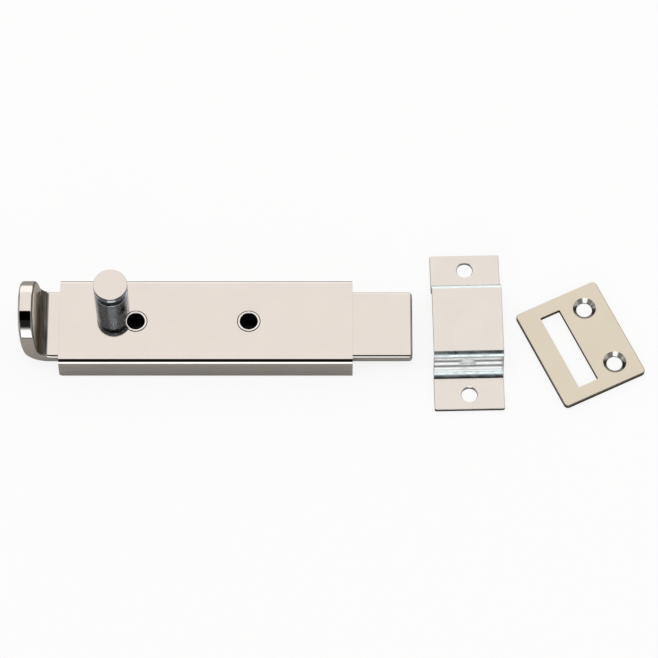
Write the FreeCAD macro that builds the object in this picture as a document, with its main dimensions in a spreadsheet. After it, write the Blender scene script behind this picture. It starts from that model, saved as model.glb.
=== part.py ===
"""Surface barrel bolt with a lock knob, its staple keep and its mortice plate.

Frame: millimetres, origin at the centre of the casing's back face, +X along the bar towards its
thrown end, +Y towards the side that the lock knob is set off to, +Z out of the casing's back face.
The bar is modelled thrown and the lock pin raised.
"""
import FreeCAD, Part
import math
import os
import Sketcher

DRIVING_SIZES = {
    # casing and back plate
    "casing_length": 102.0,
    "side_wall": 3.35,
    "front_wall": 2.3,
    "long_edge_round": 1.9,
    "end_edge_round": 0.3,
    "rear_foot_round": 1.2,
    "back_plate_thickness": 1.6,
    "back_plate_inset": 0.5,
    "spring_space": 2.0,
    # slide bar and its pull lip
    "bar_width": 25.4,
    "bar_thickness": 4.0,
    "bar_edge_round": 0.9,
    "bar_end_round": 1.3,
    "bolt_throw": 20.8,
    "lip_reach": 11.0,
    "lip_height": 20.6,
    "lip_lean": 7.0,
    "lip_thickness": 5.1,
    "lip_bend_radius": 4.5,
    "lip_top_flat": 3.6,
    # fixing sleeves
    "rear_sleeve_inset": 26.6,
    "front_sleeve_inset": 36.1,
    "screw_radius_room": 3.1,
    "sleeve_wall": 0.75,
    "sleeve_flange_width": 1.3,
    "sleeve_flange_thickness": 0.7,
    "sleeve_joint_chamfer": 0.25,
    # anti-rattle leaf spring and its rivets
    "leaf_width": 19.0,
    "leaf_thickness": 0.4,
    "leaf_sleeve_gap": 1.0,
    "leaf_tail": 4.5,
    "rivet_radius": 0.8,
    "rivet_head_radius": 1.5,
    "rivet_head_height": 0.5,
    "rivet_edge_distance": 4.0,
    # lock knob: barrel, bush, pin, ring and cap
    "knob_inset": 18.25,
    "knob_radius": 5.9,
    "barrel_nose_radius": 4.0,
    "barrel_floor": 0.8,
    "counterbore_depth": 1.7,
    "pin_travel": 2.8,
    "pin_tip_radius": 1.75,
    "stem_radius": 2.0,
    "collar_radius": 3.35,
    "collar_height": 2.0,
    "bush_height": 1.9,
    "ring_section_radius": 0.55,
    "lock_hole_web": 1.0,
    "cap_thickness": 2.5,
    "cap_edge_round": 0.2,
    "cap_spigot_radius": 4.5,
    "cap_skin": 0.8,
    # staple keep
    "keep_width": 24.3,
    "keep_strip": 1.5,
    "keep_foot": 13.5,
    "keep_lean": 14.0,
    "keep_head_room": 2.5,
    "keep_bend_inner": 0.95,
    "keep_foot_bend": 2.45,
    "keep_corner_round": 0.6,
    "keep_hole_radius": 2.8,
    "keep_hole_inset": 5.65,
    "keep_stand_off": 7.05,
    "keep_turn": 1.2,
    # mortice plate
    "plate_thickness": 1.8,
    "plate_corner_radius": 1.5,
    "plate_side_margin": 7.45,
    "plate_end_margin": 4.9,
    "plate_slot_to_holes": 8.2,
    "plate_holes_to_edge": 8.15,
    "plate_hole_spacing": 23.0,
    "plate_hole_radius": 2.75,
    "plate_countersink": 1.3,
    "plate_turn": 25.75,
    "plate_stand_off": 27.4,
    "plate_shift": -4.65,
    # clearances
    "bar_side_clearance": 0.15,
    "bar_face_clearance": 0.1,
    "plate_fit_clearance": 0.05,
    "nose_seat_clearance": 0.03,
    "sleeve_slot_clearance": 0.15,
    "leaf_clearance": 0.1,
    "pin_clearance": 0.05,
    "lock_hole_clearance": 0.15,
    "collar_clearance": 0.1,
    "ring_clearance": 0.03,
    "stop_gap": 0.05,
    "pin_tip_gap": 0.2,
    "cap_gap": 0.2,
    "spigot_end_gap": 0.7,
    "keep_side_clearance": 0.45,
    "slot_end_clearance": 2.0,
    "slot_side_clearance": 1.75,
}

# Sizes worked out in the sheet from the driving ones, in the order in which they depend on each other.
WORKED_OUT_SIZES = {
    "casing_half": "casing_length / 2",
    "bar_half": "bar_width / 2",
    "channel_half": "bar_half + bar_side_clearance",
    "casing_half_width": "channel_half + side_wall",
    "bar_bottom": "back_plate_thickness + spring_space",
    "bar_top": "bar_bottom + bar_thickness",
    "channel_top": "bar_top + bar_face_clearance",
    "casing_height": "channel_top + front_wall",
    "sleeve_radius": "screw_radius_room + sleeve_wall",
    "sleeve_flange_radius": "sleeve_radius + sleeve_flange_width",
    "rear_sleeve_x": "rear_sleeve_inset - casing_half",
    "front_sleeve_x": "casing_half - front_sleeve_inset",
    "slot_half": "sleeve_radius + sleeve_slot_clearance",
    "bar_end_x": "casing_half + bolt_throw",
    "lip_foot_x": "-casing_half - lip_reach",
    "lip_top_z": "bar_bottom + lip_height",
    "lip_slant": "tan(lip_lean)",
    "lip_skin": "lip_thickness / cos(lip_lean)",
    "lip_corner_radius": "min(bar_half - lip_top_flat / 2; lip_height - bar_thickness - lip_bend_radius)",
    "leaf_start_x": "rear_sleeve_x + sleeve_radius + leaf_sleeve_gap",
    "leaf_end_x": "front_sleeve_x - sleeve_radius - leaf_sleeve_gap",
    "leaf_rise": "spring_space - leaf_clearance - leaf_thickness",
    "leaf_chord": "leaf_end_x - leaf_start_x - leaf_tail",
    "leaf_radius": "(leaf_chord ^ 2 / 4 + leaf_rise ^ 2) / (2 * leaf_rise)",
    "leaf_middle_x": "leaf_end_x - leaf_chord / 2",
    "lock_hole_radius": "pin_tip_radius + lock_hole_clearance",
    "knob_x": "knob_inset - casing_half",
    "knob_y": "slot_half + lock_hole_web + lock_hole_radius",
    "barrel_bore": "collar_radius + collar_clearance",
    "collar_room_top": "barrel_floor + 2 * stop_gap + pin_travel + collar_height",
    "bush_top": "collar_room_top + bush_height",
    "barrel_height": "bush_top + counterbore_depth",
    "collar_top": "collar_room_top - stop_gap",
    "ring_radius": "barrel_bore - ring_clearance - ring_section_radius",
    "ring_height": "collar_top - collar_height / 2",
    "groove_bottom": "ring_radius - ring_section_radius",
    "cap_bottom": "barrel_height + cap_gap + pin_travel",
    "cap_top": "cap_bottom + cap_thickness",
    "spigot_bottom": "cap_bottom - counterbore_depth - cap_gap + spigot_end_gap",
    "stem_top": "cap_top - cap_skin",
    "pin_bottom": "bar_top + pin_tip_gap - casing_height",
    "keep_x": "bar_end_x + keep_stand_off + keep_width / 2",
    "tunnel_top": "bar_top + keep_head_room",
    "bridge_top": "tunnel_top + keep_strip",
    "keep_slant": "tan(keep_lean)",
    "keep_skin": "keep_strip / cos(keep_lean) - keep_strip * keep_slant",
    "tunnel_top_half": "bar_half + keep_side_clearance - keep_head_room * keep_slant",
    "tunnel_foot_half": "tunnel_top_half + tunnel_top * keep_slant",
    "bridge_top_half": "tunnel_top_half + keep_skin",
    "bridge_foot_half": "tunnel_foot_half + keep_skin",
    "keep_half_length": "bridge_foot_half + keep_foot",
    "plate_slot_length": "bar_width + 2 * slot_end_clearance",
    "plate_slot_width": "bar_thickness + 2 * slot_side_clearance",
    "plate_half_length": "plate_slot_length / 2 + plate_end_margin",
    "plate_width": "plate_side_margin + plate_slot_width + plate_slot_to_holes + plate_holes_to_edge",
    "plate_slot_left": "plate_side_margin - plate_width / 2",
    "plate_holes_x": "plate_width / 2 - plate_holes_to_edge",
    "plate_x": "keep_x + keep_width / 2 + plate_stand_off",
}

document = FreeCAD.newDocument("barrel_bolt")
sheet = document.addObject("Spreadsheet::Sheet", "sizes")


def fill_sheet():
    """Write every size into column B of the sheet, with its name beside it."""
    row = 1
    for name, value in DRIVING_SIZES.items():
        sheet.set(f"A{row}", name)
        sheet.set(f"B{row}", str(value))
        sheet.setAlias(f"B{row}", name)
        row += 1
    for name, formula in WORKED_OUT_SIZES.items():
        sheet.set(f"A{row}", name)
        sheet.set(f"B{row}", f"={formula}")
        sheet.setAlias(f"B{row}", name)
        row += 1
    document.recompute()


def in_sheet(formula):
    """Point each size name in a formula at the sheet."""
    words = "".join(letter if letter.isalnum() or letter == "_" else " " for letter in formula).split()
    names = sorted({word for word in words if word in DRIVING_SIZES or word in WORKED_OUT_SIZES})
    pieces = []
    word = ""
    for letter in formula + " ":
        if letter.isalnum() or letter == "_":
            word += letter
            continue
        pieces.append(f"sizes.{word}" if word in names else word)
        pieces.append(letter)
        word = ""
    return "".join(pieces).strip()


def bind(item, path, formula):
    """Tie one property of an object to a formula of size names."""
    item.setExpression(path, in_sheet(formula))


def place(item, x="0", y="0", z="0"):
    """Tie an object's position to three formulas."""
    for axis, formula in zip("xyz", (x, y, z)):
        bind(item, f"Placement.Base.{axis}", formula)


def new_body(name):
    body = document.addObject("PartDesign::Body", name)
    body.Label = name
    return body


def new_sketch(body, name, plane, height="0"):
    """A sketch on one of the body's own origin planes, lifted off it by a formula."""
    sketch = body.newObject("Sketcher::SketchObject", name)
    origin_plane = [item for item in body.Origin.OriginFeatures if item.Role == plane][0]
    sketch.AttachmentSupport = [(origin_plane, "")]
    sketch.MapMode = "FlatFace"
    bind(sketch, "AttachmentOffset.Base.z", height)
    return sketch


def value_of(formula):
    """The present value of a formula of size names."""
    return float(sheet.evalExpression(in_sheet(formula).replace("sizes.", "")))


def locate(sketch, geometry, point, position):
    """Tie one point of a sketch's geometry to a pair of formulas."""
    for kind, formula in zip(("DistanceX", "DistanceY"), position):
        constraint = Sketcher.Constraint(kind, -1, 1, geometry, point, value_of(formula))
        number = sketch.addConstraint(constraint)
        bind(sketch, f"Constraints[{number}]", formula)


def draw_outline(sketch, corners):
    """A closed outline of straight lines, each corner given by two formulas."""
    points = [FreeCAD.Vector(value_of(x), value_of(y), 0) for x, y in corners]
    count = len(points)
    for index in range(count):
        sketch.addGeometry(Part.LineSegment(points[index], points[(index + 1) % count]), False)
    for index in range(count):
        following = (index + 1) % count
        sketch.addConstraint(Sketcher.Constraint("Coincident", index, 2, following, 1))
        locate(sketch, index, 1, corners[index])


def draw_rectangle(sketch, left, right, low, high):
    draw_outline(sketch, [(left, low), (right, low), (right, high), (left, high)])


def draw_circle(sketch, position, radius):
    """A circle whose centre and radius are formulas."""
    centre = FreeCAD.Vector(value_of(position[0]), value_of(position[1]), 0)
    number = sketch.addGeometry(Part.Circle(centre, FreeCAD.Vector(0, 0, 1), value_of(radius)), False)
    locate(sketch, number, 3, position)
    constraint = sketch.addConstraint(Sketcher.Constraint("Radius", number, value_of(radius)))
    bind(sketch, f"Constraints[{constraint}]", radius)


def draw_slot(sketch, left, right, half_width):
    """A slot along X, centred on Y = 0, with round ends."""
    x_low, x_high, half = value_of(left), value_of(right), value_of(half_width)
    quarter = math.pi / 2
    up = FreeCAD.Vector(0, 0, 1)
    arc_left = Part.ArcOfCircle(Part.Circle(FreeCAD.Vector(x_low, 0, 0), up, half), quarter, 3 * quarter)
    arc_right = Part.ArcOfCircle(Part.Circle(FreeCAD.Vector(x_high, 0, 0), up, half), -quarter, quarter)
    line_low = Part.LineSegment(FreeCAD.Vector(x_low, -half, 0), FreeCAD.Vector(x_high, -half, 0))
    line_high = Part.LineSegment(FreeCAD.Vector(x_high, half, 0), FreeCAD.Vector(x_low, half, 0))
    for curve in (arc_left, line_low, arc_right, line_high):
        sketch.addGeometry(curve, False)
    for first, second in ((0, 1), (1, 2), (2, 3), (3, 0)):
        sketch.addConstraint(Sketcher.Constraint("Tangent", first, 2, second, 1))
    locate(sketch, 0, 3, (left, "0"))
    locate(sketch, 2, 3, (right, "0"))
    constraint = sketch.addConstraint(Sketcher.Constraint("Radius", 0, half))
    bind(sketch, f"Constraints[{constraint}]", half_width)


def pad(body, sketch, length, both_ways=False):
    feature = body.newObject("PartDesign::Pad", f"{sketch.Name}_pad")
    feature.Profile = sketch
    feature.Midplane = both_ways
    bind(feature, "Length", length)
    document.recompute()
    return feature


def pocket(body, sketch, depth, upwards=False):
    """Cut a sketch's shape out of the body, down from the sketch or up from it, and prove the cut."""
    before = body.Shape.Volume
    feature = body.newObject("PartDesign::Pocket", f"{sketch.Name}_pocket")
    feature.Profile = sketch
    feature.Reversed = upwards
    bind(feature, "Length", depth)
    document.recompute()
    if body.Shape.Volume >= before:
        raise RuntimeError(f"{feature.Name} cuts nothing")
    return feature


def dress(body, kind, edge_test, size):
    """Round ("Fillet") or bevel ("Chamfer") the edges of the body's shape that pass a test."""
    base = body.Tip
    names = [f"Edge{number}" for number, edge in enumerate(base.Shape.Edges, 1) if edge_test(edge)]
    if not names:
        raise RuntimeError(f"{body.Name}: no edge to dress")
    feature = body.newObject(f"PartDesign::{kind}", f"{body.Name}_{kind.lower()}")
    feature.Base = (base, names)
    bind(feature, "Radius" if kind == "Fillet" else "Size", size)
    document.recompute()
    return feature


def middle(edge):
    """The point halfway along an edge."""
    return edge.valueAt((edge.FirstParameter + edge.LastParameter) / 2)


def along(edge, axis):
    """Whether an edge is straight and parallel to an axis."""
    if not isinstance(edge.Curve, Part.Line):
        return False
    direction = edge.Vertexes[-1].Point - edge.Vertexes[0].Point
    return abs(direction.normalize().dot(axis)) > 0.999


def near(value, formula):
    """Whether a coordinate is at the place that a formula gives."""
    return abs(value - value_of(formula)) < 1e-3


ALONG_X = FreeCAD.Vector(1, 0, 0)
ALONG_Y = FreeCAD.Vector(0, 1, 0)
ALONG_Z = FreeCAD.Vector(0, 0, 1)


def turned(name, outline, position):
    """A turned piece: an outline of (radius, height) formulas, revolved about its own Z axis."""
    body = new_body(name)
    sketch = new_sketch(body, f"{name}_outline", "XZ_Plane")
    draw_outline(sketch, outline)
    feature = body.newObject("PartDesign::Revolution", f"{name}_turning")
    feature.Profile = sketch
    feature.ReferenceAxis = (sketch, ["V_Axis"])
    feature.Angle = 360.0
    document.recompute()
    place(body, *position)
    return body


def casing():
    """A channel: solid top and side walls, open at both ends, bored for the sleeves and the knob."""
    body = new_body("casing")
    outside = new_sketch(body, "casing_outside", "XY_Plane")
    draw_rectangle(outside, "-casing_half", "casing_half", "-casing_half_width", "casing_half_width")
    pad(body, outside, "casing_height")
    channel = new_sketch(body, "casing_channel", "XY_Plane")
    draw_rectangle(channel, "-casing_half - 1", "casing_half + 1", "-channel_half", "channel_half")
    pocket(body, channel, "channel_top", upwards=True)
    dress(body, "Fillet", lambda edge: along(edge, ALONG_X) and near(middle(edge).z, "casing_height"),
          "long_edge_round")
    dress(body, "Fillet", lambda edge: along(edge, ALONG_Z)
          and near(abs(middle(edge).y), "casing_half_width"), "end_edge_round")
    holes = new_sketch(body, "casing_sleeve_holes", "XY_Plane", "casing_height")
    for sleeve_x in ("rear_sleeve_x", "front_sleeve_x"):
        draw_circle(holes, (sleeve_x, "0"), "sleeve_radius")
    pocket(body, holes, "front_wall + 1")
    dress(body, "Chamfer", lambda edge: isinstance(edge.Curve, Part.Circle) and edge.isClosed()
          and near(middle(edge).z, "casing_height"), "sleeve_joint_chamfer")
    seat = new_sketch(body, "casing_knob_seat", "XY_Plane", "casing_height")
    draw_circle(seat, ("knob_x", "knob_y"), "barrel_nose_radius + nose_seat_clearance")
    pocket(body, seat, "front_wall + 1")
    dress(body, "Fillet", lambda edge: along(edge, ALONG_Y) and near(middle(edge).z, "0")
          and near(middle(edge).x, "-casing_half"), "rear_foot_round")
    return body


def back_plate():
    """Closes the channel from behind, between the side walls, and seats the sleeves' flanges."""
    body = new_body("back_plate")
    outside = new_sketch(body, "back_plate_outside", "XY_Plane")
    draw_rectangle(outside, "back_plate_inset - casing_half", "casing_half - back_plate_inset",
                   "plate_fit_clearance - channel_half", "channel_half - plate_fit_clearance")
    pad(body, outside, "back_plate_thickness")
    for number, sleeve_x in enumerate(("rear_sleeve_x", "front_sleeve_x")):
        hole = new_sketch(body, f"back_plate_hole_{number}", "XY_Plane", "back_plate_thickness")
        draw_circle(hole, (sleeve_x, "0"), "sleeve_radius")
        pocket(body, hole, "back_plate_thickness + 1")
        seat = new_sketch(body, f"back_plate_seat_{number}", "XY_Plane")
        draw_circle(seat, (sleeve_x, "0"), "sleeve_flange_radius")
        pocket(body, seat, "sleeve_flange_thickness", upwards=True)
    for number, side in enumerate(("-", "")):
        hole = new_sketch(body, f"back_plate_rivet_hole_{number}", "XY_Plane", "back_plate_thickness")
        draw_circle(hole, rivet_place(side), "rivet_radius")
        pocket(body, hole, "back_plate_thickness + 1")
    return body


def rivet_place(side):
    """Where the leaf spring's rivet on one side of the middle line stands."""
    return ("leaf_start_x + leaf_tail / 2", f"{side}(leaf_width / 2 - rivet_edge_distance)")


def fixing_sleeve(name, sleeve_x):
    """A flanged tube that a fixing screw passes through; it joins the back plate to the casing."""
    return turned(name, [
        ("screw_radius_room", "0"),
        ("sleeve_flange_radius", "0"),
        ("sleeve_flange_radius", "sleeve_flange_thickness"),
        ("sleeve_radius", "sleeve_flange_thickness"),
        ("sleeve_radius", "casing_height"),
        ("screw_radius_room", "casing_height"),
    ], (sleeve_x, "0", "0"))


def primitive(kind, name, sizes, position):
    """A Part primitive with its sizes and its place tied to formulas."""
    item = document.addObject(f"Part::{kind}", name)
    for path, formula in sizes.items():
        bind(item, path, formula)
    place(item, *position)
    return item


def leaf_spring():
    """A strip riveted to the back plate by its flat tail and bowed up under the bar."""
    drums = []
    for name, radius in (("leaf_outer_drum", "leaf_radius + leaf_thickness"), ("leaf_inner_drum", "leaf_radius")):
        drum = primitive("Cylinder", name, {"Radius": radius, "Height": "leaf_width"}, (
            "leaf_middle_x", "leaf_width / 2", "bar_bottom - leaf_clearance - leaf_thickness - leaf_radius"))
        drum.Placement.Rotation = FreeCAD.Rotation(ALONG_X, 90)
        drums.append(drum)
    shell = document.addObject("Part::Cut", "leaf_shell")
    shell.Base, shell.Tool = drums
    window = primitive("Box", "leaf_window", {
        "Length": "leaf_chord", "Width": "leaf_width", "Height": "spring_space",
    }, ("leaf_end_x - leaf_chord", "-leaf_width / 2", "back_plate_thickness"))
    bow = document.addObject("Part::Common", "leaf_bow")
    bow.Base, bow.Tool = shell, window
    tail = primitive("Box", "leaf_tail_strip", {
        "Length": "leaf_tail + leaf_thickness", "Width": "leaf_width", "Height": "leaf_thickness",
    }, ("leaf_start_x", "-leaf_width / 2", "back_plate_thickness"))
    strip = document.addObject("Part::Fuse", "leaf_strip")
    strip.Base, strip.Tool = bow, tail
    shape = strip
    for number, side in enumerate(("-", "")):
        hole_x, hole_y = rivet_place(side)
        drill = primitive("Cylinder", f"leaf_drill_{number}", {
            "Radius": "rivet_radius", "Height": "spring_space"}, (hole_x, hole_y, "back_plate_thickness"))
        bored = document.addObject("Part::Cut", f"leaf_bored_{number}")
        bored.Base, bored.Tool = shape, drill
        shape = bored
    shape.Label = "leaf_spring"
    return shape


def spring_rivets():
    """Two rivets through the back plate and the leaf spring's tail."""
    rivets = []
    head_bottom = "back_plate_thickness + leaf_thickness"
    for number, side in enumerate(("-", "")):
        rivet_x, rivet_y = rivet_place(side)
        shank = primitive("Cylinder", f"rivet_shank_{number}", {
            "Radius": "rivet_radius", "Height": head_bottom}, (rivet_x, rivet_y, "0"))
        head = primitive("Cylinder", f"rivet_head_{number}", {
            "Radius": "rivet_head_radius", "Height": "rivet_head_height"}, (rivet_x, rivet_y, head_bottom))
        rivet = document.addObject("Part::Fuse", f"rivet_{number}")
        rivet.Base, rivet.Tool = shank, head
        rivets.append(rivet)
    pair = document.addObject("Part::Compound", "spring_rivets")
    pair.Links = rivets
    pair.Label = "spring_rivets"
    return pair


def slide_bar():
    """A flat bar with a slot round each sleeve, two lock holes, and one end bent up as a pull lip."""
    body = new_body("slide_bar")
    side = new_sketch(body, "bar_side", "XZ_Plane")
    draw_outline(side, [
        ("bar_end_x", "bar_bottom"),
        ("lip_foot_x", "bar_bottom"),
        ("lip_foot_x - lip_height * lip_slant", "lip_top_z"),
        ("lip_foot_x - lip_height * lip_slant + lip_skin", "lip_top_z"),
        ("lip_foot_x - bar_thickness * lip_slant + lip_skin", "bar_top"),
        ("bar_end_x", "bar_top"),
    ])
    pad(body, side, "bar_width", both_ways=True)
    across = lambda edge, x, z: along(edge, ALONG_Y) and near(middle(edge).x, x) and near(middle(edge).z, z)
    dress(body, "Fillet", lambda edge: across(edge, "lip_foot_x - bar_thickness * lip_slant + lip_skin",
                                              "bar_top"), "lip_bend_radius")
    dress(body, "Fillet", lambda edge: across(edge, "lip_foot_x", "bar_bottom"),
          "lip_bend_radius + bar_thickness")
    dress(body, "Fillet", lambda edge: along(edge, ALONG_X) and near(middle(edge).z, "lip_top_z"),
          "lip_corner_radius")
    dress(body, "Fillet", lambda edge: along(edge, ALONG_Z) and near(middle(edge).x, "bar_end_x"),
          "bar_end_round")
    dress(body, "Fillet", lambda edge: along(edge, ALONG_X) and near(middle(edge).z, "bar_top")
          or along(edge, ALONG_X) and near(middle(edge).z, "bar_bottom"), "bar_edge_round")
    for number, sleeve_x in enumerate(("rear_sleeve_x", "front_sleeve_x")):
        slot = new_sketch(body, f"bar_slot_{number}", "XY_Plane", "bar_top + 1")
        draw_slot(slot, sleeve_x, f"{sleeve_x} + bolt_throw", "slot_half")
        pocket(body, slot, "bar_thickness + 2")
    for number, lock_x in enumerate(("knob_x", "knob_x + bolt_throw")):
        hole = new_sketch(body, f"bar_lock_hole_{number}", "XY_Plane", "bar_top + 1")
        draw_circle(hole, (lock_x, "knob_y"), "lock_hole_radius")
        pocket(body, hole, "bar_thickness + 2")
    return body


KNOB_SEAT = ("knob_x", "knob_y", "casing_height")


def knob_barrel():
    """Fixed barrel of the lock knob: its nose is set into the casing's front wall."""
    return turned("knob_barrel", [
        ("pin_tip_radius + pin_clearance", "-front_wall"),
        ("barrel_nose_radius", "-front_wall"),
        ("barrel_nose_radius", "0"),
        ("knob_radius", "0"),
        ("knob_radius", "barrel_height"),
        ("cap_spigot_radius + collar_clearance", "barrel_height"),
        ("cap_spigot_radius + collar_clearance", "bush_top"),
        ("barrel_bore", "bush_top"),
        ("barrel_bore", "barrel_floor"),
        ("pin_tip_radius + pin_clearance", "barrel_floor"),
    ], KNOB_SEAT)


def pin_guide_bush():
    """Ring pressed into the barrel: it guides the pin's stem and stops its collar."""
    return turned("pin_guide_bush", [
        ("stem_radius + pin_clearance", "collar_room_top"),
        ("barrel_bore", "collar_room_top"),
        ("barrel_bore", "bush_top"),
        ("stem_radius + pin_clearance", "bush_top"),
    ], KNOB_SEAT)


def lock_pin():
    """Pin with a grooved collar: its tip drops into the bar's lock holes."""
    groove_low = "ring_height - ring_section_radius"
    groove_high = "ring_height + ring_section_radius"
    return turned("lock_pin", [
        ("0", "pin_bottom"),
        ("pin_tip_radius", "pin_bottom"),
        ("pin_tip_radius", "collar_top - collar_height"),
        ("collar_radius", "collar_top - collar_height"),
        ("collar_radius", groove_low),
        ("groove_bottom", groove_low),
        ("groove_bottom", groove_high),
        ("collar_radius", groove_high),
        ("collar_radius", "collar_top"),
        ("stem_radius", "collar_top"),
        ("stem_radius", "stem_top"),
        ("0", "stem_top"),
    ], KNOB_SEAT)


def pin_o_ring():
    """Rubber ring in the collar's groove: its drag keeps the pin where it is put."""
    ring = primitive("Torus", "pin_o_ring", {"Radius1": "ring_radius", "Radius2": "ring_section_radius"},
                     ("knob_x", "knob_y", "casing_height + ring_height"))
    ring.Label = "pin_o_ring"
    return ring


def pull_cap():
    """Finger cap screwed on the stem: a disc with a spigot that enters the barrel's counterbore."""
    body = turned("pull_cap", [
        ("0", "stem_top"),
        ("stem_radius", "stem_top"),
        ("stem_radius", "spigot_bottom"),
        ("cap_spigot_radius", "spigot_bottom"),
        ("cap_spigot_radius", "cap_bottom"),
        ("knob_radius", "cap_bottom"),
        ("knob_radius", "cap_top"),
        ("0", "cap_top"),
    ], KNOB_SEAT)
    rim = value_of("knob_radius")
    dress(body, "Fillet", lambda edge: isinstance(edge.Curve, Part.Circle)
          and abs(edge.Curve.Radius - rim) < 1e-6, "cap_edge_round")
    return body


def staple_keep():
    """A strip bent into a bridge over the bar's end, with a screw hole in each foot."""
    body = new_body("staple_keep")
    side = new_sketch(body, "keep_side", "YZ_Plane")
    draw_outline(side, [
        ("-keep_half_length", "0"),
        ("-tunnel_foot_half", "0"),
        ("-tunnel_top_half", "tunnel_top"),
        ("tunnel_top_half", "tunnel_top"),
        ("tunnel_foot_half", "0"),
        ("keep_half_length", "0"),
        ("keep_half_length", "keep_strip"),
        ("bridge_foot_half", "keep_strip"),
        ("bridge_top_half", "bridge_top"),
        ("-bridge_top_half", "bridge_top"),
        ("-bridge_foot_half", "keep_strip"),
        ("-keep_half_length", "keep_strip"),
    ])
    pad(body, side, "keep_width", both_ways=True)
    bends = lambda edge, y, z: (along(edge, ALONG_X) and near(abs(middle(edge).y), y)
                                and near(middle(edge).z, z))
    dress(body, "Fillet", lambda edge: bends(edge, "bridge_top_half", "bridge_top"),
          "keep_bend_inner + keep_strip")
    dress(body, "Fillet", lambda edge: bends(edge, "tunnel_top_half", "tunnel_top"), "keep_bend_inner")
    dress(body, "Fillet", lambda edge: bends(edge, "tunnel_foot_half", "0"), "keep_foot_bend + keep_strip")
    dress(body, "Fillet", lambda edge: bends(edge, "bridge_foot_half", "keep_strip"), "keep_foot_bend")
    dress(body, "Fillet", lambda edge: along(edge, ALONG_Z)
          and near(abs(middle(edge).y), "keep_half_length"), "keep_corner_round")
    holes = new_sketch(body, "keep_holes", "XY_Plane", "keep_strip")
    for side_sign in ("-", ""):
        draw_circle(holes, ("0", f"{side_sign}(keep_half_length - keep_hole_inset)"), "keep_hole_radius")
    pocket(body, holes, "keep_strip + 1")
    place(body, "keep_x")
    body.Placement.Rotation = FreeCAD.Rotation(ALONG_Z, value_of("keep_turn"))
    bind(body, "Placement.Rotation.Angle", "keep_turn")
    return body


def mortice_plate():
    """A flat plate with a slot for the bar's end and two countersunk screw holes."""
    body = new_body("mortice_plate")
    outside = new_sketch(body, "plate_outside", "XY_Plane")
    draw_rectangle(outside, "-plate_width / 2", "plate_width / 2", "-plate_half_length", "plate_half_length")
    pad(body, outside, "plate_thickness")
    dress(body, "Fillet", lambda edge: along(edge, ALONG_Z), "plate_corner_radius")
    slot = new_sketch(body, "plate_slot", "XY_Plane", "plate_thickness")
    draw_rectangle(slot, "plate_slot_left", "plate_slot_left + plate_slot_width",
                   "-plate_slot_length / 2", "plate_slot_length / 2")
    pocket(body, slot, "plate_thickness + 1")
    holes = new_sketch(body, "plate_holes", "XY_Plane", "plate_thickness")
    for side in ("-", ""):
        draw_circle(holes, ("plate_holes_x", f"{side}plate_hole_spacing / 2"), "plate_hole_radius")
    pocket(body, holes, "plate_thickness + 1")
    dress(body, "Chamfer", lambda edge: isinstance(edge.Curve, Part.Circle) and edge.isClosed()
          and near(middle(edge).z, "plate_thickness"), "plate_countersink")
    place(body, "plate_x", "plate_shift")
    body.Placement.Rotation = FreeCAD.Rotation(ALONG_Z, value_of("plate_turn"))
    bind(body, "Placement.Rotation.Angle", "plate_turn")
    return body


def failed(item):
    return any(word in item.State for word in ("Invalid", "Error"))


def write_parts(parts):
    """Check the whole document, then write each sub-part under its label."""
    document.recompute()
    bad_objects = [item.Name for item in document.Objects if failed(item)]
    if bad_objects:
        raise RuntimeError(f"failed objects: {bad_objects}")
    for part in parts:
        if part.Shape.isNull() or not part.Shape.isValid() or not part.Shape.Solids:
            raise RuntimeError(f"{part.Label} has no valid solid")
    os.makedirs("parts", exist_ok=True)
    for part in parts:
        part.Shape.exportStep(f"parts/{part.Label}.step")
        box = part.Shape.BoundBox
        print(f"{part.Label:22s} solids {len(part.Shape.Solids)} volume {part.Shape.Volume:9.2f}"
              f" x {box.XMin:.2f} {box.XMax:.2f} y {box.YMin:.2f} {box.YMax:.2f}"
              f" z {box.ZMin:.2f} {box.ZMax:.2f}")


fill_sheet()
write_parts([
    casing(),
    back_plate(),
    fixing_sleeve("fixing_sleeve_rear", "rear_sleeve_x"),
    fixing_sleeve("fixing_sleeve_front", "front_sleeve_x"),
    leaf_spring(),
    spring_rivets(),
    slide_bar(),
    knob_barrel(),
    pin_guide_bush(),
    lock_pin(),
    pin_o_ring(),
    pull_cap(),
    staple_keep(),
    mortice_plate(),
])
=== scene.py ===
"""Studio scene of a polished surface barrel bolt with its staple keep and its mortice plate.

Everything is in metres, in the part's own frame: +X along the bar towards its thrown end, +Y towards
the side that the lock knob is set off to, +Z out of the casing's back face.
"""
import math

import bmesh
import bpy
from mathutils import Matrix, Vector


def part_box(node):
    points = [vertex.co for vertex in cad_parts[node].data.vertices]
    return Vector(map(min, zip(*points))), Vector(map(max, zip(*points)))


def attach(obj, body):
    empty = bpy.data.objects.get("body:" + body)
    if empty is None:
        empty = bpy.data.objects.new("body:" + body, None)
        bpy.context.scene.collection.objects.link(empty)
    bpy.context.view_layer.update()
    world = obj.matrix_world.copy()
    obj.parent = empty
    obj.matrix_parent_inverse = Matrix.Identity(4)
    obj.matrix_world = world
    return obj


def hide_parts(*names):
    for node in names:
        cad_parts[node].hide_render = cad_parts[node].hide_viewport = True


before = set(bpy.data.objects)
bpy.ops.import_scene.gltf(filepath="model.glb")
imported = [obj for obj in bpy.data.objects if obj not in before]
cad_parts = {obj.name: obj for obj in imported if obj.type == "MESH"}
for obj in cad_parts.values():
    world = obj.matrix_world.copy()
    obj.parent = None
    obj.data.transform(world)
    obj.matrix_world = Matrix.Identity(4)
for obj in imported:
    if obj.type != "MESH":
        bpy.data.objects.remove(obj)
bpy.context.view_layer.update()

MM = 0.001

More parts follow.
